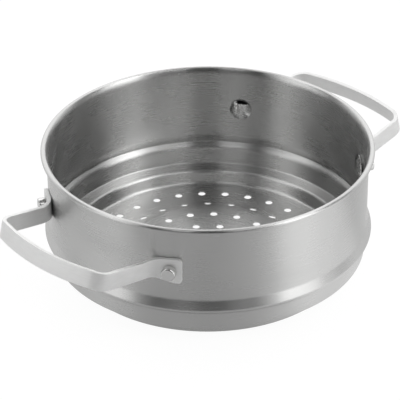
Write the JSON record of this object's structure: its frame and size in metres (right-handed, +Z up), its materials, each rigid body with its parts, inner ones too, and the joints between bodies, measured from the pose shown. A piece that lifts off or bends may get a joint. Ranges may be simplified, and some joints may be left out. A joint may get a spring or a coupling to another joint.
{
  "type": "steamer insert",
  "caption": "Round stainless steamer insert with a lipped wall, a stepped base that seats in a pot, a perforated raised floor and riveted strap handles on opposite sides.",
  "frame": {"origin": "on the surface it stands on, at the middle of the floor's underside", "axes": "+Z up along the basket's axis, +X through the middle of one handle's grip, +Y across the basket, between the handles"},
  "size_m": [0.2804, 0.204, 0.0813],
  "materials": {
    "brushed_steel": "finely brushed round the wall",
    "satin_steel": "satin",
    "polished_steel": "polished"
  },
  "bodies": {
    "root": {"steamer_basket": "brushed_steel", "handle_right": "satin_steel", "handle_left": "satin_steel", "rivet_right_back": "polished_steel", "rivet_right_front": "polished_steel", "rivet_left_front": "polished_steel", "rivet_left_back": "polished_steel"}
  },
  "joints": []
}
